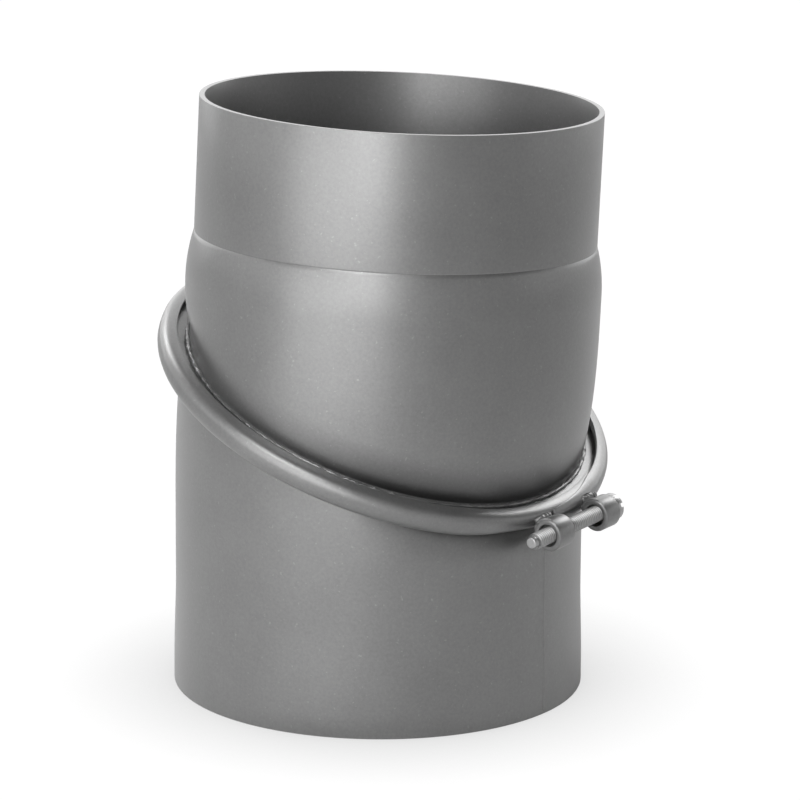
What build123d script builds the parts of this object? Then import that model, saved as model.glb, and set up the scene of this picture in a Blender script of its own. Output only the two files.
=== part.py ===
from build123d import *
import math
import os

# Adjustable stove pipe elbow for 150 mm flue pipe, two oblique tubes turning on a clamped joint.
# Millimetres, +Z up. The origin is on the lower tube's axis at its open bottom rim, and the
# joint slopes down towards +X.

# sheet and pipe
wall = 2.0
tube_radius = 75.0
rim_edge = 0.4

# lower tube: open socket end, widened a little to take the next pipe's spigot
lower_length = 109.2
socket_widening = 0.7
socket_straight = 8.0
socket_taper = 32.0
lower_shoulder_start = 60.0
spigot_clearance = 0.2

# upper tube: narrowed spigot end, a crease, then a body a little wider than the lower tube
upper_length = 109.8
spigot_length = 49.5
swell_length = 17.5
body_widening = 1.0
upper_turn = -9.0

# rotating joint: the oblique cut is gathered into a round neck with a turned-out flange
joint_tilt = 22.5
neck_offset = 2.4
neck_widening = 0.6
neck_height = 6.5
flange_width = 6.0
root_radius = 1.8
seat_gap = 0.2
shoulder_sharpness = 3
shoulder_sections = 5

# clamp ring: rolled channel that reaches over both flanges, its ends nested in one another
ring_hold = 0.8
ring_depth = 5.5
ring_sheet = 1.0
ring_lip_height = 5.3
ring_wall_height = 4.0
ring_corner = 4.0
nest_gap = 0.1
ring_end = -2.0
joggle_angle = 22.0
joggle_gap = 8.0
joggle_steps = 4
tongue_end = 23.0
lip_trim_angle = 22.0
lip_trim_depth = 3.9
lip_trim_steps = 4
lip_trim_margin = 1.0

# bushes and screw: the screw draws the two ring ends together
bush_radius = 6.0
bush_bore = 4.0
screw_radius = 3.0
thread_clearance = 0.05
bush_seat_gap = 0.06
bush_angle = 0.5
screw_rise = 3.4
threaded_bush_length = 9.0
threaded_bush_start = 4.5
counterbore_depth = 3.0
plain_bush_length = 8.2
plain_bush_start = 15.0
plain_bush_drop = 0.6
bush_edge = 0.4
head_radius = 5.0
head_height = 3.2
head_gap = 0.1
slot_width = 1.6
slot_depth = 1.8
tip_length = 9.7
tip_chamfer = 1.2

# weld beads between each bush and the ring
bead_radius = 1.8
bead_rise = 2.1
bead_overrun = 0.6
bead_end = 1.1

socket_radius = tube_radius + socket_widening
spigot_radius = socket_radius - wall - spigot_clearance
body_radius = tube_radius + body_widening
neck_radius = tube_radius + neck_widening
flange_radius = neck_radius + flange_width
ring_lip_radius = flange_radius - ring_hold
ring_radius = ring_lip_radius + ring_depth
tilt = math.radians(joint_tilt)
nest_inset = ring_sheet + nest_gap
threaded_bush_place = -threaded_bush_start - threaded_bush_length


def revolved(outline):
    """Solid of revolution about Z from a closed outline in the XZ plane."""
    return revolve(make_face(outline), Axis.Z)


def rim_points(radius, inset):
    """Start of a barrel's outline at its open end, the outer edge broken and the bore's sharp."""
    if inset:
        return [(0, 0, 0), (radius - inset, 0, 0)]
    return [(0, 0, 0), (radius - rim_edge, 0, 0), (radius, 0, rim_edge)]


def lower_barrel(inset):
    """Lower tube's straight barrel, filled, its faces moved in by inset."""
    outline = Polyline(
        *rim_points(socket_radius, inset),
        (socket_radius - inset, 0, socket_straight),
        (tube_radius - inset, 0, socket_straight + socket_taper),
        (tube_radius - inset, 0, lower_shoulder_start),
        (0, 0, lower_shoulder_start),
        close=True,
    )
    return revolved(outline)


def upper_barrel(inset):
    """Upper tube's spigot and swelling body, filled, its faces moved in by inset."""
    crease = (spigot_radius - inset, 0, spigot_length)
    swell_end = (body_radius - inset, 0, spigot_length + swell_length)
    spigot = Polyline(
        (0, 0, spigot_length + swell_length), *rim_points(spigot_radius, inset), crease
    )
    swell = TangentArc(swell_end, crease, tangent=(0, 0, -1))
    top = Line(swell_end, (0, 0, spigot_length + swell_length))
    return revolved(Wire([*spigot.edges(), swell, top]))


def shoulder(inset, radius, start, length):
    """Filled blend from the round barrel to the round neck in the sloping joint plane."""
    neck_x = neck_offset * math.cos(tilt) - neck_height * math.sin(tilt)
    neck_z = length - neck_offset * math.sin(tilt) - neck_height * math.cos(tilt)
    sections = []
    for step in range(shoulder_sections):
        part_way = step / (shoulder_sections - 1)
        gathered = part_way**shoulder_sharpness
        angle = tilt * part_way
        across = radius + (neck_radius - radius) * gathered - inset
        along = radius + (neck_radius * math.cos(tilt) - radius) * gathered
        along = along / math.cos(angle) - inset
        plane = Plane(
            origin=(neck_x * gathered, 0, start + (neck_z - start) * part_way),
            x_dir=(math.cos(angle), 0, -math.sin(angle)),
            z_dir=(math.sin(angle), 0, math.cos(angle)),
        )
        sections.append(plane * Ellipse(along, across))
    return loft(sections)


def flange_plane(length):
    """Plane of a tube's flange, in the tube's own frame, facing out of the tube."""
    return Plane(
        origin=(neck_offset * math.cos(tilt), 0, length - neck_offset * math.sin(tilt)),
        x_dir=(math.cos(tilt), 0, -math.sin(tilt)),
        z_dir=(math.sin(tilt), 0, math.cos(tilt)),
    )


def neck(inner):
    """Filled neck with its turned-out flange, or the bore through it if inner is true."""
    face = -seat_gap / 2
    if inner:
        bore = neck_radius - wall
        bend = root_radius + wall
        outline = Polyline(
            (bore + bend, 0, face), (0, 0, face), (0, 0, -neck_height),
            (bore, 0, -neck_height), (bore, 0, face - bend),
        )
        turn = TangentArc((bore, 0, face - bend), (bore + bend, 0, face), tangent=(0, 0, 1))
        return revolved(Wire([*outline.edges(), turn]))
    back = face - wall
    outline = Polyline(
        (neck_radius + root_radius, 0, back), (flange_radius, 0, back),
        (flange_radius, 0, face), (0, 0, face), (0, 0, -neck_height),
        (neck_radius, 0, -neck_height), (neck_radius, 0, back - root_radius),
    )
    root = TangentArc(
        (neck_radius, 0, back - root_radius), (neck_radius + root_radius, 0, back),
        tangent=(0, 0, 1),
    )
    return revolved(Wire([*outline.edges(), root]))


def oblique_tube(barrel, radius, start, length):
    """Hollow tube in the frame of its flange: Z out of the tube, X to its short side."""
    plane = flange_plane(length)
    outside = barrel(0) + shoulder(0, radius, start, length) + plane * neck(False)
    inside = barrel(wall) + shoulder(wall, radius, start, length) + plane * neck(True)
    return plane.to_local_coords(outside - inside)


# the joint's frame: Z along the turning axis, X down the slope
joint = flange_plane(lower_length)


def lower_tube():
    """Lower tube, back in the part's frame."""
    return joint * oblique_tube(lower_barrel, tube_radius, lower_shoulder_start, lower_length)


def upper_tube():
    """Upper tube, turned over onto the lower flange and swung round the joint."""
    shoulder_start = spigot_length + swell_length
    tube = oblique_tube(upper_barrel, body_radius, shoulder_start, upper_length)
    return joint * Rot(Z=upper_turn) * Rot(Y=180) * tube


def channel_outline(inset, corner):
    """Filled outline of the ring's channel, offset inwards by inset, its back corners rounded."""
    lip = ring_lip_radius - inset
    back = ring_radius - inset
    outline = Polyline(
        (lip, ring_lip_height - inset), (back, ring_wall_height - inset),
        (back, inset - ring_wall_height), (lip, inset - ring_lip_height), close=True,
    )
    face = make_face(outline)
    return fillet(face.vertices().group_by(Axis.X)[-1], corner)


def ring_section(inset, angle):
    """Channel section of the ring, offset inwards by inset, at an angle round the joint."""
    corner = ring_corner - inset
    section = channel_outline(inset, corner)
    section -= channel_outline(inset + ring_sheet, corner - ring_sheet)
    turn = math.radians(angle)
    half_plane = Plane(
        origin=(0, 0, 0),
        x_dir=(math.cos(turn), math.sin(turn), 0),
        z_dir=(math.sin(turn), -math.cos(turn), 0),
    )
    return half_plane * section.face()


def clamp_ring():
    """Rolled channel ring, from its outer end round to the tongue nested inside that end."""
    joggle_end = ring_end - joggle_gap
    joggle_start = joggle_end - joggle_angle
    main = revolve(ring_section(0, ring_end), Axis.Z, 360 + joggle_start - ring_end)
    tongue = revolve(ring_section(nest_inset, joggle_end), Axis.Z, tongue_end - joggle_end)
    joggle_sections = []
    for step in range(joggle_steps + 1):
        part_way = step / joggle_steps
        eased = part_way * part_way * (3 - 2 * part_way)
        angle = joggle_start + joggle_angle * part_way
        joggle_sections.append(ring_section(nest_inset * eased, angle))
    ring = main - lip_trim() + loft(joggle_sections) + tongue
    return joint * ring


def lip_trim():
    """Cutter that slants the lips of the ring's outer end back from the tongue."""
    edge = []
    for step in range(lip_trim_steps + 1):
        part_way = step / lip_trim_steps
        angle = math.radians(ring_end + lip_trim_angle * part_way)
        reach = ring_lip_radius + lip_trim_depth * (1 - part_way)
        edge.append((reach * math.cos(angle), reach * math.sin(angle)))
    inward = neck_radius / ring_lip_radius
    x, y = edge[-1]
    edge.append((x * inward, y * inward))
    x, y = edge[0]
    edge.append((x * inward, y * inward))
    outline = make_face(Polyline(*edge, close=True))
    return extrude(outline, ring_lip_height + lip_trim_margin, both=True)


def screw_plane():
    """Frame of the clamp screw in the joint's frame: Z along the screw, towards its head."""
    seat = ring_radius + bush_radius + bush_seat_gap
    distance = math.sqrt(seat**2 - plain_bush_start**2)
    angle = math.radians(bush_angle)
    rise = math.radians(screw_rise)
    return Plane(
        origin=(distance * math.cos(angle), distance * math.sin(angle), 0),
        x_dir=(math.cos(angle), math.sin(angle), 0),
        z_dir=(-math.sin(angle) * math.cos(rise), math.cos(angle) * math.cos(rise), math.sin(rise)),
    )


def bush_blank(length):
    """Plain round bar for a bush, along Z from 0, with its edges broken."""
    bar = Cylinder(bush_radius, length, align=(Align.CENTER, Align.CENTER, Align.MIN))
    return chamfer(bar.edges().filter_by(GeomType.CIRCLE), bush_edge)


def threaded_bush():
    """Bush that holds the screw's thread, with a wider mouth on the screw tip's side."""
    hole = Cylinder(
        screw_radius + thread_clearance, threaded_bush_length,
        align=(Align.CENTER, Align.CENTER, Align.MIN),
    )
    mouth = Cylinder(bush_bore, counterbore_depth, align=(Align.CENTER, Align.CENTER, Align.MIN))
    return Pos(0, 0, threaded_bush_place) * (bush_blank(threaded_bush_length) - hole - mouth)


def plain_bush():
    """Bush that the screw passes through freely, under its head, a little low on the ring."""
    hole = Cylinder(bush_bore, plain_bush_length, align=(Align.CENTER, Align.CENTER, Align.MIN))
    return Pos(0, plain_bush_drop, plain_bush_start) * (bush_blank(plain_bush_length) - hole)


def clamp_screw():
    """Slotted cheese-head screw along Z, its head's underside at the plain bush's far face."""
    under_head = plain_bush_start + plain_bush_length + head_gap
    tip = threaded_bush_place - tip_length
    shank = Pos(0, 0, tip) * Cylinder(
        screw_radius, under_head - tip, align=(Align.CENTER, Align.CENTER, Align.MIN)
    )
    shank = chamfer(shank.edges().filter_by(GeomType.CIRCLE).sort_by(Axis.Z)[0], tip_chamfer)
    head = Cylinder(head_radius, head_height, align=(Align.CENTER, Align.CENTER, Align.MIN))
    head = chamfer(head.edges().filter_by(GeomType.CIRCLE).sort_by(Axis.Z)[-1], bush_edge)
    slot = Pos(0, 0, head_height) * Box(2 * head_radius, slot_width, 2 * slot_depth)
    return shank + Pos(0, 0, under_head) * (head - slot)


def weld_bead(start, length, drop, inset):
    """Bead along one bush's seat and round its end, filled in to the ring's back there."""
    plane = screw_plane()
    middle = start + length / 2
    seat = math.sqrt((ring_radius - inset) ** 2 - middle**2) - plane.origin.length
    run = length + bead_overrun
    bead = Cylinder(bead_radius, run)
    bead = fillet(bead.edges().filter_by(GeomType.CIRCLE), bead_end)
    bead = Pos(seat, drop / 2 - bead_rise, start + length - run / 2) * bead
    bush = Pos(0, drop, middle) * Cylinder(bush_radius, length)
    back = revolve(Plane.XZ * channel_outline(inset, ring_corner - inset), Axis.Z)
    return plane.to_local_coords(plane * (bead - bush) - back)


on_screw = {
    "threaded_bush": threaded_bush(),
    "threaded_bush_weld": weld_bead(threaded_bush_place, threaded_bush_length, 0, nest_inset),
    "plain_bush": plain_bush(),
    "plain_bush_weld": weld_bead(plain_bush_start, plain_bush_length, plain_bush_drop, 0),
    "clamp_screw": clamp_screw(),
}
nodes = {"lower_tube": lower_tube(), "upper_tube": upper_tube(), "clamp_ring": clamp_ring()}
nodes.update({name: joint * screw_plane() * shape for name, shape in on_screw.items()})

os.makedirs("parts", exist_ok=True)
for name, shape in nodes.items():
    export_step(shape, f"parts/{name}.step")
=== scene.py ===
import math
import random

import bmesh
import bpy
from mathutils import Matrix, Vector


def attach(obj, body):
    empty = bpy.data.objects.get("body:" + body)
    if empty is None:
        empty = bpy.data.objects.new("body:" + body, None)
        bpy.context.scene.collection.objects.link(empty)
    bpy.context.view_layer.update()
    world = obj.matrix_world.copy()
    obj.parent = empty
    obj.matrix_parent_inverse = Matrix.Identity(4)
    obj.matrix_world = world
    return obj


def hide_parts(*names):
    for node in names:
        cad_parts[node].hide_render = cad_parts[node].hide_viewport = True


# Adjustable stove pipe elbow for 150 mm pipe: two painted steel tubes turning on a clamped flange joint.
# Sizes are in millimetres and become metres where a piece is put in its place.

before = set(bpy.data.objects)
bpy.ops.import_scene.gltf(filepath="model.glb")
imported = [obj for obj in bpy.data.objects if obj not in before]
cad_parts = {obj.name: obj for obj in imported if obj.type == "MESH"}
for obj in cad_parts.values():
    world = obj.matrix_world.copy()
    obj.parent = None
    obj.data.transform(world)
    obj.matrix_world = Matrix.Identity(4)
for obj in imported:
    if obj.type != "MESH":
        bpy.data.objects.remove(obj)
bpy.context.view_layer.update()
random.seed(11)

MM = 0.001

# Both tubes are made standing on their open end, with the joint's plane leaning by TILT at the top.
TILT = math.radians(22.5)
WALL = 2.0
TUBE_EDGE = 0.35
AROUND = 144

# Lower tube: socket for the next pipe, its taper, and a straight barrel up to the shoulder.
LOWER_LENGTH = 109.2
TUBE_R = 75.0
SOCKET_R = 75.7
SOCKET_STRAIGHT = 8.0
SOCKET_TAPER = 32.0
SOCKET_STEPS = 8
LOWER_SHOULDER = 60.0

# Upper tube: spigot, the crease behind it, and the swell to the barrel.
UPPER_LENGTH = 109.8
UPPER_TURN = math.radians(-9.0)
SPIGOT_R = 73.5
SPIGOT_LENGTH = 49.5
CREASE_DEPTH = 0.16
CREASE_HALF = 0.25
CREASE_LIP = 0.02
BODY_R = 76.0
SWELL_LENGTH = 17.5
SWELL_STEPS = 12

# Shoulder that gathers a barrel into the neck, the neck, and its turned-out flange.
SHARPNESS = 3
SHOULDER_STEPS = 18
NECK_OFFSET = 2.4
NECK_R = 75.6
NECK_HEIGHT = 6.5
ROOT_R = 1.8
ROOT_STEPS = 6
FLANGE_R = 81.6
FLANGE_EDGE = 0.3
SEAT_GAP = 0.2

# Seam bead up the lower tube, and the run of paint and weld in the corner behind the upper flange.
SEAM_R = 0.55
SEAM_SINK = 0.25
SEAM_START = 1.0
SEAM_END = 62.0
SEAM_STEP = 1.5
SEAM_UNEVEN = (0.85, 1.18)
SEAM_TURN = math.radians(1)
ROOT_BEAD_R = 0.62
ROOT_BEAD_SEAT = 0.9

# Painted shade on the tubes: depths below the flange face, the darkness painted along the crease, and the
# share of the low side that gets it.
CREVICE_START = 18.0
LOWER_CREVICE_START = 8.5
CREVICE_FULL = 4.5
CREVICE_END = 3.6
CREASE_DARK = 0.4
LOW_SIDE_SHADE_FROM = -0.2
LOW_SIDE_SHADE_FULL = 0.75

# Clamp ring: rolled channel, its outer end at RING_END and a tongue nested inside it by NEST_INSET.
RING_R = 86.3
RING_SHEET = 1.0
RING_EDGE = 0.2
RING_LIP_R = 80.8
RING_LIP_H = 5.3
RING_WALL_H = 4.0
RING_CORNER = 4.0
CORNER_STEPS = 6
NEST_INSET = 1.1
RING_END = -2.0
JOGGLE_ANGLE = 22.0
JOGGLE_GAP = 8.0
JOGGLE_STEPS = 16
TONGUE_END = 23.0
TONGUE_STEPS = 24
TRIM_ANGLE = 22.0
TRIM_DEPTH = 3.9
TRIM_STEPS = 16

# Painted shade on the ring's lower half beside the screw, along the screw's axis and across it.
SCREW_SHADE_START = -32.0
SCREW_SHADE_LEAD = 13.0
SCREW_SHADE_END = 15.0
SCREW_SHADE_RISE = 3.2
SCREW_SHADE_FADE = 3.8

# Bushes and screw, placed along the screw's axis from the point where it passes the ring.
BUSH_R = 6.0
BUSH_CLEAR = 0.06
BUSH_BORE = 4.0
BUSH_EDGE = 0.45
BORE_EDGE = 0.2
BUSH_ANGLE = math.radians(0.5)
THREADED_START = -13.5
THREADED_LENGTH = 9.0
COUNTERBORE = 3.0
PLAIN_START = 15.0
PLAIN_LENGTH = 8.2
PLAIN_DROP = 0.6
SCREW_R = 3.0
SCREW_HOLE_R = 3.05
SCREW_RISE = math.radians(3.4)
PITCH = 1.0
THREAD_DEPTH = 0.55
THREAD_SINK = 0.05
CREST_FROM = 0.42
CREST_TO = 0.54
THREAD_STEPS = 28
HEAD_R = 5.0
HEAD_HEIGHT = 3.2
HEAD_GAP = 0.1
SLOT_WIDTH = 1.6
SLOT_DEPTH = 1.8
SLOT_TURN = math.radians(-40)
TIP_LENGTH = 9.7
TIP_CHAMFER = 1.2
FINE_EDGE = 0.12

# Weld beads along the bushes' seats and crescents round their ends.
BEAD_R = 1.5
BEAD_RISE = 2.1
BEAD_RIPPLE = 0.16
CRESCENT_R = 0.75
CRESCENT_RIPPLE = 0.22
CRESCENT_SEAT = BUSH_R + 0.1
CRESCENT_SWEEP = math.radians(95)
CRESCENT_START = math.radians(165)

bpy.context.scene.view_settings.view_transform = "Standard"


def clamped(value):
    return max(0.0, min(1.0, value))


def eased(way):
    """Runs from 0 to 1 with a soft start and a soft end."""
    return way * way * (3 - 2 * way)


def axes_matrix(origin, x, z):
    """Matrix of a frame given in millimetres by its origin, X and Z."""
    x, z = Vector(x).normalized(), Vector(z).normalized()
    y = z.cross(x)
    return Matrix(
        ((x.x, y.x, z.x, origin[0]), (x.y, y.y, z.y, origin[1]), (x.z, y.z, z.z, origin[2]), (0, 0, 0, 1))
    )


def flange_frame(length):
    """Frame of a tube's flange face in the tube's own frame, Z out of the tube."""
    return axes_matrix(
        (NECK_OFFSET * math.cos(TILT), 0, length - NECK_OFFSET * math.sin(TILT)),
        (math.cos(TILT), 0, -math.sin(TILT)),
        (math.sin(TILT), 0, math.cos(TILT)),
    )


JOINT = flange_frame(LOWER_LENGTH)
UPSIDE_DOWN = Matrix.Rotation(math.pi, 4, "Y") @ flange_frame(UPPER_LENGTH).inverted()
UPPER = JOINT @ Matrix.Rotation(UPPER_TURN, 4, "Z") @ UPSIDE_DOWN
SEAT = math.sqrt((RING_R + BUSH_R + BUSH_CLEAR) ** 2 - PLAIN_START**2)
SCREW = JOINT @ axes_matrix(
    (SEAT * math.cos(BUSH_ANGLE), SEAT * math.sin(BUSH_ANGLE), 0),
    (math.cos(BUSH_ANGLE), math.sin(BUSH_ANGLE), 0),
    (
        -math.sin(BUSH_ANGLE) * math.cos(SCREW_RISE),
        math.cos(BUSH_ANGLE) * math.cos(SCREW_RISE),
        math.sin(SCREW_RISE),
    ),
)

# ---------------------------------------------------------------- camera

ELEVATION = math.radians(14.893)
AZIMUTH = math.radians(37.634)
ROLL = math.radians(0.4)
DISTANCE = 1800.0
TARGET = (7.62, 0, 105.75)
SENSOR = 36.0
IMAGE_WIDTH = 800
FOCAL_LENGTH = 4897.8

IN_ROOM = Matrix.Rotation(AZIMUTH, 4, "Z")
camera_data = bpy.data.cameras.new("camera")
camera_data.sensor_width = SENSOR
camera_data.lens = FOCAL_LENGTH / IMAGE_WIDTH * SENSOR
camera_data.clip_start = 0.1
camera_data.clip_end = 30
camera = bpy.data.objects.new("camera", camera_data)
bpy.context.scene.collection.objects.link(camera)
bpy.context.scene.camera = camera
aimed = IN_ROOM @ Matrix.Rotation(math.pi / 2 - ELEVATION, 4, "X")
stand = IN_ROOM @ Vector(TARGET) + aimed @ Vector((0, 0, DISTANCE))
camera.matrix_world = Matrix.Translation(stand * MM) @ aimed @ Matrix.Rotation(ROLL, 4, "Z")


# ---------------------------------------------------------------- modelling helpers


def clear():
    bpy.ops.object.select_all(action="DESELECT")


def select_only(piece):
    clear()
    piece.select_set(True)
    bpy.context.view_layer.objects.active = piece


def start(name):
    """Makes the new primitive the piece being shaped and gives it its name."""
    piece = bpy.context.active_object
    piece.name = name
    piece.data.name = name
    return piece


def edit_all():
    """Opens the active piece in edit mode with everything selected."""
    bpy.ops.object.mode_set(mode="EDIT")
    bpy.ops.mesh.select_all(action="SELECT")


def settle(piece):
    """Puts a piece's place, turn and scale into its mesh."""
    select_only(piece)
    bpy.ops.object.transform_apply(location=True, rotation=True, scale=True)


def put(piece, matrix_mm):
    """Scales a piece from millimetres and sets it in its place."""
    piece.matrix_world = Matrix.Scale(MM, 4) @ matrix_mm
    settle(piece)


def modify(piece, kind, **settings):
    """Adds a modifier with its settings and applies it."""
    modifier = piece.modifiers.new(kind.title(), kind)
    for key, value in settings.items():
        setattr(modifier, key, value)
    select_only(piece)
    bpy.ops.object.modifier_apply(modifier=modifier.name)


def round_edges(piece, width, degrees):
    """Rounds the edges that are sharper than an angle."""
    modify(piece, "BEVEL", width=width, segments=2, limit_method="ANGLE", angle_limit=math.radians(degrees))


def smooth(piece, degrees):
    select_only(piece)
    bpy.ops.object.shade_smooth_by_angle(angle=math.radians(degrees), keep_sharp_edges=False)


def outwards(piece):
    """Merges doubles and turns all faces outwards."""
    select_only(piece)
    edit_all()
    bpy.ops.mesh.remove_doubles(threshold=0.001)
    bpy.ops.mesh.normals_make_consistent(inside=False)
    bpy.ops.object.mode_set(mode="OBJECT")


def joined(piece, extra):
    """Makes an extra body part of a piece."""
    select_only(piece)
    extra.select_set(True)
    bpy.ops.object.join()


def circle(name, vertices, radius, place=(0, 0, 0), upright=False):
    """Adds a circle, flat or standing in the XZ plane, and leaves it open in edit mode."""
    clear()
    rotation = (math.pi / 2 if upright else 0, 0, 0)
    bpy.ops.mesh.primitive_circle_add(vertices=vertices, radius=radius, location=place, rotation=rotation)
    piece = start(name)
    settle(piece)
    edit_all()
    return piece


def turned(name, outline, steps):
    """A turned piece: a closed outline of (radius, height) spun about Z."""
    clear()
    bpy.ops.mesh.primitive_circle_add(vertices=len(outline), radius=1)
    piece = start(name)
    for vertex, (radius, height) in zip(piece.data.vertices, outline):
        vertex.co = (radius, 0, height)
    edit_all()
    bpy.ops.mesh.spin(steps=steps, angle=2 * math.pi, center=(0, 0, 0), axis=(0, 0, 1))
    bpy.ops.object.mode_set(mode="OBJECT")
    outwards(piece)
    return piece


# ---------------------------------------------------------------- tubes
# A tube is a stack of rings, each an ellipse (x, z, tilt, radius along X, radius across).


def straight(radius, height):
    """Round ring square to the tube."""
    return (0, height, 0, radius, radius)


def extrude_ring(previous, new):
    """Extrudes the selected ring and brings it from one ellipse to the next."""
    x0, z0, tilt0, along0, across0 = previous
    x1, z1, tilt1, along1, across1 = new
    bpy.ops.mesh.extrude_region_move(TRANSFORM_OT_translate={"value": (x1 - x0, 0, z1 - z0)})
    centre = (x1, 0, z1)
    if tilt0:
        bpy.ops.transform.rotate(value=tilt0, orient_axis="Y", center_override=centre)
    bpy.ops.transform.resize(value=(along1 / along0, across1 / across0, 1), center_override=centre)
    if tilt1:
        bpy.ops.transform.rotate(value=-tilt1, orient_axis="Y", center_override=centre)


def shoulder_rings(radius, start_z, length):
    """The rings that gather a round barrel into the round neck that stands square to the joint."""
    neck_x = NECK_OFFSET * math.cos(TILT) - NECK_HEIGHT * math.sin(TILT)
    neck_z = length - NECK_OFFSET * math.sin(TILT) - NECK_HEIGHT * math.cos(TILT)
    rings = []
    for step in range(1, SHOULDER_STEPS + 1):
        way = step / SHOULDER_STEPS
        gathered = way**SHARPNESS
        angle = TILT * way
        across = radius + (NECK_R - radius) * gathered
        along = (radius + (NECK_R * math.cos(TILT) - radius) * gathered) / math.cos(angle)
        rings.append((neck_x * gathered, start_z + (neck_z - start_z) * way, angle, along, across))
    return rings


def neck_rings(length):
    """The neck's wall, root fillet and turned-out flange, as rings square to the joint."""
    back = -SEAT_GAP / 2 - WALL
    outline = []
    for step in range(ROOT_STEPS + 1):
        bend = math.pi / 2 * step / ROOT_STEPS
        outline.append((NECK_R + ROOT_R * (1 - math.cos(bend)), back - ROOT_R * (1 - math.sin(bend))))
    outline += [(FLANGE_R - FLANGE_EDGE, back), (FLANGE_R, back + FLANGE_EDGE)]
    sin, cos = math.sin(TILT), math.cos(TILT)
    rings = []
    for radius, height in outline:
        x = NECK_OFFSET * cos + height * sin
        z = length - NECK_OFFSET * sin + height * cos
        rings.append((x, z, TILT, radius, radius))
    return rings


def mark_inside(piece):
    """Face attribute that tells the paint where the tube's inner side is."""
    mark = piece.data.attributes.new("inner_side", "FLOAT", "FACE")
    for face in piece.data.polygons:
        outward = Vector((face.center.x, face.center.y, 0)).normalized()
        mark.data[face.index].value = 1.0 if face.normal.dot(outward) < -0.3 else 0.0


def mark_crevice_shade(piece, length):
    """Point attribute of painted shade: on the low side of the neck, and along the upper tube's crease."""
    mark = piece.data.attributes.new("painted_recess_shade", "FLOAT", "POINT")
    into_flange = flange_frame(length).inverted()
    upper = length == UPPER_LENGTH
    begin = CREVICE_START if upper else LOWER_CREVICE_START
    for vertex in piece.data.vertices:
        outward = Vector((vertex.co.x, vertex.co.y, 0))
        if vertex.normal.dot(outward) <= 0:
            continue
        place = into_flange @ vertex.co
        value = clamped((place.z + begin) / (begin - CREVICE_FULL)) if place.z < -CREVICE_END else 0.0
        low_side = place.x / math.hypot(place.x, place.y) * (-1 if upper else 1)
        value *= clamped((low_side - LOW_SIDE_SHADE_FROM) / (LOW_SIDE_SHADE_FULL - LOW_SIDE_SHADE_FROM))
        # The crease ring gets a fixed share of painted shade.
        if upper and abs(vertex.co.z - SPIGOT_LENGTH) < 0.05:
            value = CREASE_DARK
        mark.data[vertex.index].value = value


def flare_radius(way):
    """Outside radius of the lower tube along the taper above its socket."""
    return SOCKET_R + (TUBE_R - SOCKET_R) * eased(way)


def seam_bead():
    """Slim raised bead of the lower tube's welded seam, following the flared socket up to the shoulder."""
    bead = circle("seam_bead", 10, SEAM_R, (SOCKET_R - SEAM_SINK, 0, SEAM_START))
    bpy.ops.mesh.edge_face_add()
    steps = round((SEAM_END - SEAM_START) / SEAM_STEP)
    rise = (SEAM_END - SEAM_START) / steps
    radius, swell = SOCKET_R, 1.0
    for step in range(1, steps + 1):
        height = SEAM_START + rise * step
        new_radius = flare_radius(clamped((height - SOCKET_STRAIGHT) / SOCKET_TAPER))
        bpy.ops.mesh.extrude_region_move(TRANSFORM_OT_translate={"value": (new_radius - radius, 0, rise)})
        new_swell = random.uniform(*SEAM_UNEVEN)
        growth = new_swell / swell
        centre = (new_radius - SEAM_SINK, 0, height)
        bpy.ops.transform.resize(value=(growth, growth, 1), center_override=centre)
        radius, swell = new_radius, new_swell
    bpy.ops.object.mode_set(mode="OBJECT")
    outwards(bead)
    bead.matrix_world = Matrix.Rotation(SEAM_TURN, 4, "Z")
    settle(bead)
    return bead


def root_bead(length):
    """Uneven run of paint and weld in the corner between the neck and its flange."""
    seat_r = NECK_R + ROOT_BEAD_SEAT
    bead = circle("root_bead", 10, ROOT_BEAD_R, (seat_r, 0, 0), upright=True)
    bpy.ops.mesh.spin(steps=AROUND * 4, angle=2 * math.pi, center=(0, 0, 0), axis=(0, 0, 1))
    bpy.ops.object.mode_set(mode="OBJECT")
    outwards(bead)
    waves = []
    for _ in range(12):
        rate = random.choice((7, 23, 61, 88, 119, 137))
        waves.append((rate, random.uniform(0, 6.28), random.uniform(0.5, 1)))
    for vertex in bead.data.vertices:
        angle = math.atan2(vertex.co.y, vertex.co.x)
        centre = Vector((math.cos(angle), math.sin(angle), 0)) * seat_r
        swell = sum(size * math.sin(rate * angle + phase) for rate, phase, size in waves)
        vertex.co = centre + (vertex.co - centre) * max(0.3, 1 + 0.11 * swell + random.uniform(-0.22, 0.22))
    depth = SEAT_GAP / 2 + WALL + ROOT_BEAD_SEAT
    bead.matrix_world = flange_frame(length) @ Matrix.Translation((0, 0, -depth))
    settle(bead)
    return bead


def tube(name, barrel, length, bead, matrix):
    """Sheet metal tube: ring after ring from the open end to the flange, then given its wall."""
    _, shoulder_start, _, shoulder_radius, _ = barrel[-1]
    rings = barrel + shoulder_rings(shoulder_radius, shoulder_start, length) + neck_rings(length)
    piece = circle(name, AROUND, rings[0][3])
    for previous, new in zip(rings, rings[1:]):
        extrude_ring(previous, new)
    bpy.ops.object.mode_set(mode="OBJECT")
    outwards(piece)
    modify(piece, "SOLIDIFY", thickness=WALL, offset=-1, use_even_offset=True, use_rim=True)
    round_edges(piece, TUBE_EDGE, 42)
    mark_inside(piece)
    mark_crevice_shade(piece, length)
    joined(piece, bead)
    put(piece, matrix)
    smooth(piece, 42)
    return piece


lower_rings = [straight(SOCKET_R, 0), straight(SOCKET_R, SOCKET_STRAIGHT)]
for step in range(1, SOCKET_STEPS + 1):
    way = step / SOCKET_STEPS
    lower_rings.append(straight(flare_radius(way), SOCKET_STRAIGHT + SOCKET_TAPER * way))
lower_rings.append(straight(TUBE_R, LOWER_SHOULDER))
lower_tube = tube("lower_tube_shell", lower_rings, LOWER_LENGTH, seam_bead(), Matrix.Identity(4))

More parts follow.
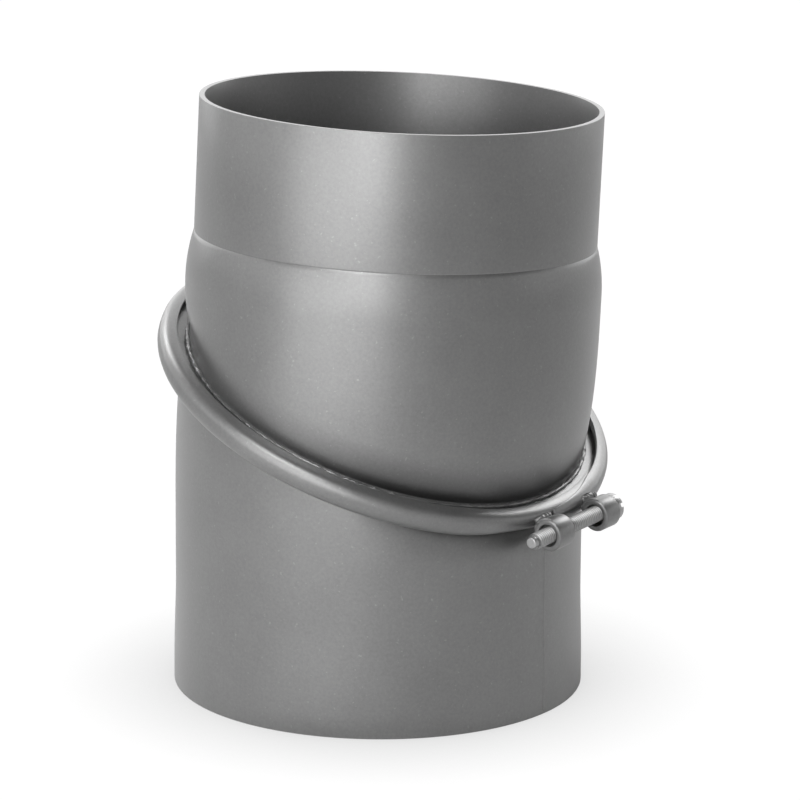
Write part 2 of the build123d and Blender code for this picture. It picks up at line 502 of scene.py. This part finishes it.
swell_end = SPIGOT_LENGTH + SWELL_LENGTH
swell_step = BODY_R - SPIGOT_R
swell_radius = (swell_step**2 + SWELL_LENGTH**2) / (2 * swell_step)
upper_rings = [
    straight(SPIGOT_R, 0),
    straight(SPIGOT_R, SPIGOT_LENGTH - 2 * CREASE_HALF),
    straight(SPIGOT_R - CREASE_LIP, SPIGOT_LENGTH - 0.3),
    straight(SPIGOT_R - CREASE_DEPTH, SPIGOT_LENGTH),
]
for step in range(SWELL_STEPS + 1):
    height = SPIGOT_LENGTH + CREASE_HALF + (SWELL_LENGTH - CREASE_HALF) * step / SWELL_STEPS
    bulge = math.sqrt(swell_radius**2 - (swell_end - height) ** 2)
    upper_rings.append(straight(BODY_R - swell_radius + bulge, height))
upper_tube = tube("upper_tube_shell", upper_rings, UPPER_LENGTH, root_bead(UPPER_LENGTH), UPPER)


# ---------------------------------------------------------------- clamp ring


def channel_points():
    """Outside of the ring's channel section from its upper lip to its lower one."""
    slope = math.atan2(RING_LIP_H - RING_WALL_H, RING_R - RING_LIP_R)
    tangent = RING_CORNER / math.tan((math.pi / 2 + slope) / 2)
    centre = (RING_R - RING_CORNER, RING_WALL_H - tangent)
    upper = [(RING_LIP_R, RING_LIP_H)]
    for step in range(CORNER_STEPS + 1):
        angle = (math.pi / 2 - slope) * (1 - step / CORNER_STEPS)
        upper.append((centre[0] + RING_CORNER * math.cos(angle), centre[1] + RING_CORNER * math.sin(angle)))
    return upper + [(r, -h) for r, h in reversed(upper)]


def drawn_outline(name, points):
    """An open outline in the XZ plane, drawn by extruding one vertex from point to point."""
    clear()
    bpy.ops.mesh.primitive_plane_add(size=1, location=(0, 0, 0))
    piece = start(name)
    edit_all()
    bpy.ops.mesh.merge(type="CENTER")
    bpy.ops.transform.translate(value=(points[0][0], 0, points[0][1]))
    for (r0, h0), (r1, h1) in zip(points, points[1:]):
        bpy.ops.mesh.extrude_region_move(TRANSFORM_OT_translate={"value": (r1 - r0, 0, h1 - h0)})
    return piece


def turn_selected(angle):
    """Turns what is selected about the joint's axis; transform.rotate turns the other way here."""
    bpy.ops.transform.rotate(value=-angle, orient_axis="Z", center_override=(0, 0, 0))


def sweep_selected(angle, steps):
    """Sweeps the selected outline about the axis; spin counts its angle the other way."""
    bpy.ops.mesh.spin(steps=steps, angle=-angle, center=(0, 0, 0), axis=(0, 0, 1))


def cut_back(points, depth):
    """Half section from the lip to the back, its lip shortened by a depth and its points spread again."""
    lengths = [0.0]
    for (r0, h0), (r1, h1) in zip(points, points[1:]):
        lengths.append(lengths[-1] + math.hypot(r1 - r0, h1 - h0))
    begin = 0.0
    for (r0, _), (r1, _), l0, l1 in zip(points, points[1:], lengths, lengths[1:]):
        if r0 <= RING_LIP_R + depth <= r1:
            begin = l0 + (l1 - l0) * (RING_LIP_R + depth - r0) / (r1 - r0)
    spread = []
    for number in range(len(points)):
        wanted = begin + (lengths[-1] - begin) * number / (len(points) - 1)
        span = max(i for i in range(len(lengths) - 1) if lengths[i] <= wanted + 1e-9)
        share = (wanted - lengths[span]) / (lengths[span + 1] - lengths[span])
        (r0, h0), (r1, h1) = points[span], points[span + 1]
        spread.append((r0 + (r1 - r0) * share, h0 + (h1 - h0) * share))
    return spread


def slant_lips(piece):
    """Slants both lips of the ring's outer end back towards the tongue's side."""
    half = channel_points()[: CORNER_STEPS + 2]
    mesh = bmesh.from_edit_mesh(piece.data)
    for vertex in mesh.verts:
        angle = math.degrees(math.atan2(vertex.co.y, vertex.co.x)) - RING_END
        if not -0.1 < angle < TRIM_ANGLE:
            continue
        radius, height = math.hypot(vertex.co.x, vertex.co.y), abs(vertex.co.z)
        number = min(range(len(half)), key=lambda i: math.hypot(half[i][0] - radius, half[i][1] - height))
        way = 1 - max(angle, 0) / TRIM_ANGLE
        new_radius, new_height = cut_back(half, TRIM_DEPTH * way)[number]
        vertex.co.x *= new_radius / radius
        vertex.co.y *= new_radius / radius
        vertex.co.z = math.copysign(new_height, vertex.co.z)
    bmesh.update_edit_mesh(piece.data)


def joggle_selected(heading):
    """Steps the channel inwards and lower over the joggle, so that its tongue nests in the outer end."""
    step_angle = math.radians(JOGGLE_ANGLE) / JOGGLE_STEPS
    inset = 0
    for step in range(1, JOGGLE_STEPS + 1):
        new_inset = NEST_INSET * eased(step / JOGGLE_STEPS)
        bpy.ops.mesh.extrude_region_move(TRANSFORM_OT_translate={"value": (0, 0, 0)})
        turn_selected(step_angle)
        heading += step_angle
        move = inset - new_inset
        bpy.ops.transform.translate(value=(move * math.cos(heading), move * math.sin(heading), 0))
        shrink = (RING_LIP_H - new_inset) / (RING_LIP_H - inset)
        bpy.ops.transform.resize(value=(1, 1, shrink), center_override=(0, 0, 0))
        inset = new_inset


def mark_shade_behind_screw(piece):
    """Point attribute of painted shade on the ring's lower half beside the clamp screw."""
    mark = piece.data.attributes.new("painted_recess_shade", "FLOAT", "POINT")
    into_screw = SCREW.inverted() @ JOINT
    for vertex in piece.data.vertices:
        if math.hypot(vertex.co.x, vertex.co.y) < RING_R - RING_CORNER:
            continue
        place = into_screw @ vertex.co
        along = min((place.z - SCREW_SHADE_START) / SCREW_SHADE_LEAD, (SCREW_SHADE_END - place.z) / SCREW_SHADE_FADE)
        mark.data[vertex.index].value = clamped(along) * clamped((place.y + SCREW_SHADE_RISE) / SCREW_SHADE_FADE)


def channel_ring():
    """Rolled channel ring: outline swept from the outer end round to the joggle, and on as the tongue."""
    step_angle = math.radians(TRIM_ANGLE / TRIM_STEPS)
    main_steps = round((360 - JOGGLE_GAP - JOGGLE_ANGLE) / (TRIM_ANGLE / TRIM_STEPS))
    piece = drawn_outline("clamp_channel", channel_points())
    bpy.ops.mesh.select_all(action="SELECT")
    turn_selected(math.radians(RING_END))
    sweep_selected(step_angle * main_steps, main_steps)
    slant_lips(piece)
    joggle_selected(math.radians(RING_END) + step_angle * main_steps)
    sweep_selected(math.radians(JOGGLE_GAP + TONGUE_END - RING_END), TONGUE_STEPS)
    bpy.ops.object.mode_set(mode="OBJECT")
    outwards(piece)
    modify(piece, "SOLIDIFY", thickness=RING_SHEET, offset=-1, use_even_offset=True, use_rim=True)
    round_edges(piece, RING_EDGE, 50)
    mark_shade_behind_screw(piece)
    put(piece, JOINT)
    smooth(piece, 40)
    return piece


clamp_ring = channel_ring()


# ---------------------------------------------------------------- bushes, screw and welds


def bush(name, length, hole, counterbore, drop, place):
    """Turned bush: outside, chamfered faces, hole, and a wider mouth on the screw tip's side."""
    outline = [(BUSH_R - BUSH_EDGE, 0), (BUSH_R, BUSH_EDGE)]
    outline += [(BUSH_R, length - BUSH_EDGE), (BUSH_R - BUSH_EDGE, length)]
    outline += [(hole + BORE_EDGE, length), (hole, length - BORE_EDGE)]
    mouth = hole
    if counterbore:
        mouth = BUSH_BORE
        outline += [(hole, counterbore), (mouth, counterbore - 0.4)]
    outline += [(mouth, BORE_EDGE), (mouth + BORE_EDGE, 0)]
    piece = turned(name, outline, 72)
    round_edges(piece, FINE_EDGE, 30)
    put(piece, SCREW @ Matrix.Translation((0, drop, place)))
    smooth(piece, 25)
    return piece


threaded_bush = bush("bush_threaded_turned", THREADED_LENGTH, SCREW_HOLE_R, COUNTERBORE, 0, THREADED_START)
plain_bush = bush("bush_plain_turned", PLAIN_LENGTH, BUSH_BORE, 0, PLAIN_DROP, PLAIN_START)


def cut_slot(body, top):
    """Cuts the screwdriver slot across the head."""
    clear()
    bpy.ops.mesh.primitive_cube_add(
        size=1, location=(0, 0, top), rotation=(0, 0, SLOT_TURN),
        scale=(2.4 * HEAD_R, SLOT_WIDTH, 2 * SLOT_DEPTH),
    )
    cutter = start("slot_cutter")
    settle(cutter)
    modify(body, "BOOLEAN", operation="DIFFERENCE", object=cutter, solver="EXACT")
    bpy.data.objects.remove(cutter)


def thread_piece(core, tip, under_head):
    """Cut thread: an outline of teeth, one a pitch, screwed up by one pitch in a turn."""
    points = []
    for tooth in range(round(under_head - tip - TIP_CHAMFER) + 1):
        height = tip + TIP_CHAMFER * 0.4 + tooth * PITCH
        crest = SCREW_R if tooth else SCREW_R - 0.3
        points += [(core - THREAD_SINK, height), (crest, height + CREST_FROM), (crest, height + CREST_TO)]
    points.append((core - THREAD_SINK, points[-3][1] + PITCH))
    thread = drawn_outline("screw_thread", points)
    bpy.ops.object.mode_set(mode="OBJECT")
    modify(
        thread, "SCREW", angle=2 * math.pi, screw_offset=PITCH, iterations=1, steps=THREAD_STEPS,
        render_steps=THREAD_STEPS, axis="Z", use_merge_vertices=True,
    )
    return thread


def screw_piece():
    """Slotted cheese-head screw with a cut thread, along Z from its tip to its head."""
    tip = THREADED_START - TIP_LENGTH
    under_head = PLAIN_START + PLAIN_LENGTH + HEAD_GAP
    top = under_head + HEAD_HEIGHT
    core = SCREW_R - THREAD_DEPTH
    outline = [(0, tip), (SCREW_R - 1.25, tip), (SCREW_R - 1.0, tip + 0.15), (core, tip + TIP_CHAMFER * 0.8)]
    outline += [(core, under_head), (HEAD_R - 0.25, under_head), (HEAD_R, under_head + 0.25)]
    outline += [(HEAD_R, top - 0.5), (HEAD_R - 0.5, top), (0, top)]
    body = turned("clamp_screw_turned", outline, 64)
    cut_slot(body, top)
    round_edges(body, FINE_EDGE, 40)
    joined(body, thread_piece(core, tip, under_head))
    # Painted shade: the colour darkens towards the thread roots.
    painted_recess_shade = body.data.attributes.new("painted_recess_shade", "FLOAT", "POINT")
    for vertex in body.data.vertices:
        depth = (SCREW_R - math.hypot(vertex.co.x, vertex.co.y)) / THREAD_DEPTH
        on_shank = tip + TIP_CHAMFER < vertex.co.z < under_head - 0.01
        painted_recess_shade.data[vertex.index].value = clamped(depth) if on_shank else 0
    put(body, SCREW)
    smooth(body, 28)
    return body


screw = screw_piece()


def rippled(piece, centre_of, amount, seed):
    """Gives a bead the small uneven waves of a hand-laid weld."""
    draw = random.Random(seed)
    waves = [(draw.uniform(1.1, 5.5), draw.uniform(0, 6.28), draw.uniform(-1, 1)) for _ in range(7)]
    for vertex in piece.data.vertices:
        centre = centre_of(vertex.co)
        away = vertex.co - centre
        along = centre.z + centre.x * 0.7 + centre.y * 0.9
        round_it = math.atan2(away.y, away.x)
        swell = sum(math.sin(rate * along + phase + lean * round_it) for rate, phase, lean in waves)
        vertex.co = centre + away * (1 + amount * swell / 3)


def crescent_line(co):
    """Middle line of a crescent, nearest to a point."""
    angle = math.atan2(co.y, co.x)
    return Vector((CRESCENT_SEAT * math.cos(angle), CRESCENT_SEAT * math.sin(angle), 0))


def crescent_piece(drop, start_z, seed):
    """Curved fillet of weld round a bush's end, thinning out at both ends."""
    crescent = circle("crescent", 14, CRESCENT_R, (CRESCENT_SEAT, 0, 0), upright=True)
    sweep_selected(CRESCENT_SWEEP, 36)
    bpy.ops.object.mode_set(mode="OBJECT")
    for vertex in crescent.data.vertices:
        centre = crescent_line(vertex.co)
        way = clamped(math.atan2(centre.y, centre.x) / CRESCENT_SWEEP)
        vertex.co = centre + (vertex.co - centre) * max(0.05, math.sin(math.pi * way)) ** 0.5
    rippled(crescent, crescent_line, CRESCENT_RIPPLE, seed)
    place = Matrix.Translation((0, drop, start_z + 0.7))
    crescent.matrix_world = place @ Matrix.Rotation(CRESCENT_START, 4, "Z")
    settle(crescent)
    return crescent


def weld(name, start_z, length, drop, inset, seed):
    """Weld of a bush on the ring: a bead along the crevice above its seat, and a crescent round its end."""
    middle = start_z + length / 2
    seat = math.sqrt((RING_R - inset) ** 2 - middle**2) - SEAT
    clear()
    bpy.ops.mesh.primitive_uv_sphere_add(segments=24, ring_count=60, radius=1)
    bead = start(name)
    for vertex in bead.data.vertices:
        x, y, z = vertex.co
        across = math.hypot(x, y) or 1
        width = BEAD_R * (1 - abs(z) ** 5) ** 0.5
        vertex.co = (x / across * width, y / across * width, z * length / 2)
    rippled(bead, lambda co: Vector((0, 0, co.z)), BEAD_RIPPLE, seed)
    for vertex in bead.data.vertices:
        vertex.co += Vector((seat + 0.1, drop / 2 - BEAD_RISE, middle))
    joined(bead, crescent_piece(drop, start_z, seed + 1))
    outwards(bead)
    put(bead, SCREW)
    smooth(bead, 60)
    return bead


threaded_weld = weld("bush_threaded_weld_bead", THREADED_START, THREADED_LENGTH, 0, NEST_INSET, 3)
plain_weld = weld("bush_plain_weld_bead", PLAIN_START, PLAIN_LENGTH, PLAIN_DROP, 0, 5)


# ---------------------------------------------------------------- materials

# Noise scales are waves a metre. Sprayed paint has a grain of about 0.1 mm and dust nibs of 0.3 mm, too fine
# to show from here, so they are drawn 1.1 mm and 1.2 mm wide; the clouds of thick and thin paint are 18 mm.
GRAIN_SCALE = 900.0
NIB_SCALE = 850.0
CLOUD_SCALE = 55.0
GRAIN_DEPTH = 0.2
ROUGHNESS_SPREAD = 0.04
INNER_METALLIC = 0.9
INNER_ROUGHER = 1.05
COAT_ROUGHNESS = 0.3
NIB_COLOUR = "#d2d2d2"
# Painted shade inside the tubes: the paint's colour is multiplied by this on the inner side.
INNER_SHADE_COLOUR = "#d6d6d6"


def linear(text):
    """Linear RGBA of an sRGB hex colour."""
    values = [int(text[i : i + 2], 16) / 255 for i in (1, 3, 5)]
    return tuple(v / 12.92 if v <= 0.04045 else ((v + 0.055) / 1.055) ** 2.4 for v in values) + (1.0,)


def add_node(material, kind, settings=None, links=None):
    """Adds one node, sets its properties and inputs by name or number, and links its inputs."""
    node = material.node_tree.nodes.new(kind)
    for key, value in (settings or {}).items():
        if hasattr(node, str(key)):
            setattr(node, key, value)
        else:
            node.inputs[key].default_value = value
    for key, source in (links or {}).items():
        material.node_tree.links.new(source, node.inputs[key])
    return node


def new_material(name):
    material = bpy.data.materials.new(name)
    material.use_nodes = True
    material.node_tree.nodes.clear()
    return material


def paint(name, dark, light, hollow_shade, roughness, metallic, coat, lined):
    """Sprayed satin metal paint: clouds and grain in its colour, pale nibs, and painted shade in its
    recesses.
    A lined one is rougher and more metallic on a tube's inner side, where it is thin, and also darker there
    as painted shade inside the tube."""
    material = new_material(name)
    place = {"Vector": add_node(material, "ShaderNodeTexCoord").outputs["Object"]}
    grain = add_node(
        material, "ShaderNodeTexNoise", {"Scale": GRAIN_SCALE, "Detail": 3.0, "Roughness": 0.6}, place
    ).outputs["Fac"]
    cloud = add_node(
        material, "ShaderNodeTexNoise", {"Scale": CLOUD_SCALE, "Detail": 4.0, "Roughness": 0.55}, place
    ).outputs["Fac"]
    nib = add_node(material, "ShaderNodeTexNoise", {"Scale": NIB_SCALE, "Detail": 1.0}, place).outputs["Fac"]
    mixed = add_node(material, "ShaderNodeMix", {"data_type": "FLOAT", "Factor": 0.35}, {2: grain, 3: cloud})
    ramp = add_node(material, "ShaderNodeValToRGB", {}, {"Fac": mixed.outputs[0]})
    for stop, position, tone in zip(ramp.color_ramp.elements, (0.3, 0.7), (dark, light)):
        stop.position = position
        stop.color = linear(tone)
    nib_share = add_node(
        material, "ShaderNodeMapRange", {"From Min": 0.7, "From Max": 0.8, "To Max": 0.3}, {"Value": nib}
    ).outputs["Result"]
    colour = add_node(
        material, "ShaderNodeMix", {"data_type": "RGBA", 7: linear(NIB_COLOUR)},
        {"Factor": nib_share, 6: ramp.outputs["Color"]},
    ).outputs[2]
    finish = add_node(
        material, "ShaderNodeMapRange",
        {"To Min": roughness - ROUGHNESS_SPREAD, "To Max": roughness + ROUGHNESS_SPREAD}, {"Value": cloud},
    ).outputs["Result"]
    bump = add_node(
        material, "ShaderNodeBump", {"Strength": 0.22, "Distance": GRAIN_DEPTH * MM}, {"Height": grain}
    ).outputs["Normal"]
    settings = {"Coat Weight": coat, "Coat Roughness": COAT_ROUGHNESS, "Metallic": metallic}
    links = {"Normal": bump}
    if lined:
        # The inner side is multiplied darker, as painted shade inside the tube.
        inner = add_node(material, "ShaderNodeAttribute", {"attribute_name": "inner_side"}).outputs["Fac"]
        colour = add_node(
            material, "ShaderNodeMix",
            {"data_type": "RGBA", "blend_type": "MULTIPLY", 7: linear(INNER_SHADE_COLOUR)},
            {"Factor": inner, 6: colour},
        ).outputs[2]
        rougher = add_node(
            material, "ShaderNodeMapRange", {"To Min": 1.0, "To Max": INNER_ROUGHER}, {"Value": inner}
        ).outputs["Result"]
        finish = add_node(
            material, "ShaderNodeMath", {"operation": "MULTIPLY"}, {0: finish, 1: rougher}
        ).outputs[0]
        links["Metallic"] = add_node(
            material, "ShaderNodeMapRange", {"To Min": metallic, "To Max": INNER_METALLIC}, {"Value": inner}
        ).outputs["Result"]
    # Painted shade: the base colour is multiplied towards the shade tone where the attribute marks a recess.
    painted_recess_shade = add_node(material, "ShaderNodeAttribute", {"attribute_name": "painted_recess_shade"}).outputs["Fac"]
    links["Base Color"] = add_node(
        material, "ShaderNodeMix", {"data_type": "RGBA", "blend_type": "MULTIPLY", 7: linear(hollow_shade)},
        {"Factor": painted_recess_shade, 6: colour},
    ).outputs[2]
    links["Roughness"] = finish
    shader = add_node(material, "ShaderNodeBsdfPrincipled", settings, links)
    add_node(material, "ShaderNodeOutputMaterial", {}, {"Surface": shader.outputs["BSDF"]})
    return material


# Stove paint: heat-resistant silicone enamel with metal flake, sprayed thin on sheet steel. It gives a broad
# soft highlight, edges that brighten against the backdrop, and a fine dry-spray grain.
# Its third colour, #7c7c7c, is painted shade in the neck, along the crease and beside the ring's screw.
stove_paint = paint("stove_paint_satin_grey", "#8e8e8e", "#9c9c9c", "#7c7c7c", 0.44, 0.75, 1.0, True)

# The screw: turned steel with a cut thread, over-sprayed thinly with the same paint. It is lighter and
# shinier than the sheet, with painted shade in its thread roots.
screw_paint = paint("painted_screw_steel", "#bcbcbc", "#d0d0d0", "#8c8c8c", 0.38, 0.85, 0.3, False)


def dress(piece, body, node, material):
    """Gives a piece its material and the body it rides on, and hides the model's node that it stands for."""
    piece.data.materials.clear()
    piece.data.materials.append(material)
    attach(piece, body)
    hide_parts(node)


for piece, body, node in (
    (lower_tube, "lower_pipe", "lower_tube"),
    (upper_tube, "upper_pipe", "upper_tube"),
    (clamp_ring, "clamp", "clamp_ring"),
    (threaded_bush, "clamp", "threaded_bush"),
    (plain_bush, "clamp", "plain_bush"),
    (threaded_weld, "clamp", "threaded_bush_weld"),
    (plain_weld, "clamp", "plain_bush_weld"),
):
    dress(piece, body, node, stove_paint)
dress(screw, "screw", "clamp_screw", screw_paint)


# ---------------------------------------------------------------- studio
# Places in the room are in the camera's own directions: X to its right, Y away from it, Z up.

FLOOR_SIZE = 12000.0
FLOOR_DROP = 0.2
PAPER_LEVEL = 0.96
SHADOW_LEVEL = 0.7
SHADOW_REACH = 60.0
ROOM_LIGHT = 0.44
WHITE = (1, 1, 1, 1)


def studio_floor():
    """Paper floor: the camera sees it white but for a soft shadow near the object, partly real diffuse shade
    and partly painted shadow, where its glow dims with ambient occlusion.
    """
    clear()
    bpy.ops.mesh.primitive_plane_add(size=FLOOR_SIZE * MM, location=(0, 0, -FLOOR_DROP * MM))
    floor = start("studio_floor")
    material = new_material("studio_floor_white")
    paper = add_node(material, "ShaderNodeBsdfDiffuse", {"Color": linear("#e4e4e4")})
    pale = add_node(material, "ShaderNodeBsdfDiffuse", {"Color": linear("#595959")})
    nearness = add_node(
        material, "ShaderNodeAmbientOcclusion", {"samples": 12, "Distance": SHADOW_REACH * MM}
    )
    lift = add_node(
        material, "ShaderNodeMapRange",
        {"From Min": 0.5, "From Max": 1.0, "To Min": SHADOW_LEVEL, "To Max": PAPER_LEVEL},
        {"Value": nearness.outputs["AO"]},
    )
    glow = add_node(material, "ShaderNodeEmission", {"Color": WHITE}, {"Strength": lift.outputs["Result"]})
    lit = add_node(
        material, "ShaderNodeAddShader", {}, {0: pale.outputs["BSDF"], 1: glow.outputs["Emission"]}
    )
    path = add_node(material, "ShaderNodeLightPath")
    seen = add_node(
        material, "ShaderNodeMixShader", {},
        {"Fac": path.outputs["Is Camera Ray"], 1: paper.outputs["BSDF"], 2: lit.outputs["Shader"]},
    )
    add_node(material, "ShaderNodeOutputMaterial", {}, {"Surface": seen.outputs["Shader"]})
    floor.data.materials.append(material)


def facing(place, aim):
    """Matrix of a card or lamp that stands at a place in the room and faces another."""
    position = IN_ROOM @ Vector(place)
    direction = (IN_ROOM @ Vector(aim)) - position
    return Matrix.Translation(position * MM) @ direction.to_track_quat("-Z", "Y").to_matrix().to_4x4()


def card(name, place, aim, width, height, strength):
    """White card standing in the room, lit, and not seen by the camera."""
    clear()
    bpy.ops.mesh.primitive_plane_add(size=1)
    board = start(name)
    board.matrix_world = facing(place, aim) @ Matrix.Diagonal((width * MM, height * MM, 1, 1))
    settle(board)
    material = new_material(name + "_white")
    path = add_node(material, "ShaderNodeLightPath")
    shine = add_node(material, "ShaderNodeEmission", {"Color": WHITE, "Strength": strength})
    clear_way = add_node(material, "ShaderNodeBsdfTransparent")
    seen = add_node(
        material, "ShaderNodeMixShader", {},
        {"Fac": path.outputs["Is Camera Ray"], 1: shine.outputs["Emission"], 2: clear_way.outputs["BSDF"]},
    )
    add_node(material, "ShaderNodeOutputMaterial", {}, {"Surface": seen.outputs["Shader"]})
    board.data.materials.append(material)


def softbox(name, place, aim, width, height, power):
    """Area lamp, not seen by the camera."""
    data = bpy.data.lights.new(name, "AREA")
    data.shape = "RECTANGLE"
    data.size = width * MM
    data.size_y = height * MM
    data.energy = power
    lamp = bpy.data.objects.new(name, data)
    bpy.context.scene.collection.objects.link(lamp)
    lamp.matrix_world = facing(place, aim)
    lamp.visible_camera = False


studio_floor()
card("backdrop", (0, 1500, 1000), (0, 0, 1000), 4400, 1800, 1.3)
card("left_wall", (-1500, -50, 750), (0, 0, 450), 1700, 1250, 0.7)
card("right_wall", (1500, 250, 400), (0, 0, 300), 1300, 600, 0.6)

# The room's light is even up to a low height and fades to a dark ceiling; the camera sees it white.
world = bpy.data.worlds.new("studio")
bpy.context.scene.world = world
world.use_nodes = True
world.node_tree.nodes.clear()
sky = add_node(world, "ShaderNodeTexCoord").outputs["Generated"]
up = add_node(world, "ShaderNodeSeparateXYZ", {}, {"Vector": sky}).outputs["Z"]
level = add_node(
    world, "ShaderNodeMapRange",
    {
        "interpolation_type": "SMOOTHSTEP", "From Min": 0.15, "From Max": 0.6,
        "To Min": ROOM_LIGHT, "To Max": 0.0,
    },
    {"Value": up},
)
room = add_node(world, "ShaderNodeBackground", {"Color": WHITE}, {"Strength": level.outputs["Result"]})
white = add_node(world, "ShaderNodeBackground", {"Color": WHITE, "Strength": 1.0})
world_path = add_node(world, "ShaderNodeLightPath")
world_seen = add_node(
    world, "ShaderNodeMixShader", {},
    {
        "Fac": world_path.outputs["Is Camera Ray"],
        1: room.outputs["Background"], 2: white.outputs["Background"],
    },
)
add_node(world, "ShaderNodeOutputWorld", {}, {"Surface": world_seen.outputs["Shader"]})

# Key lamps stand in a low and a high row on an arc at the left, two lamps are overhead and two behind.
KEY_DISTANCE = 700
KEY_LAMPS = (("a", -48, 0.234, 0.39), ("b", -30, 0.276, 0.39), ("c", -12, 0.234, 0.81))
for letter, azimuth, low_power, high_power in KEY_LAMPS:
    x = KEY_DISTANCE * math.sin(math.radians(azimuth))
    y = -KEY_DISTANCE * math.cos(math.radians(azimuth))
    softbox("key_low_" + letter, (x, y, 110), (0, 0, 110), 220, 200, low_power)
    softbox("key_high_" + letter, (x, y, 410), (0, 0, 410), 220, 380, high_power)
softbox("top_b", (-280, -480, 760), (0, 0, 200), 220, 260, 0.96)
softbox("top_c", (-120, -540, 760), (0, 0, 200), 220, 260, 0.96)
softbox("back_left", (-500, 500, 700), (0, 0, 180), 300, 300, 1.32)
softbox("back_right", (500, 500, 700), (0, 0, 180), 300, 300, 1.32)
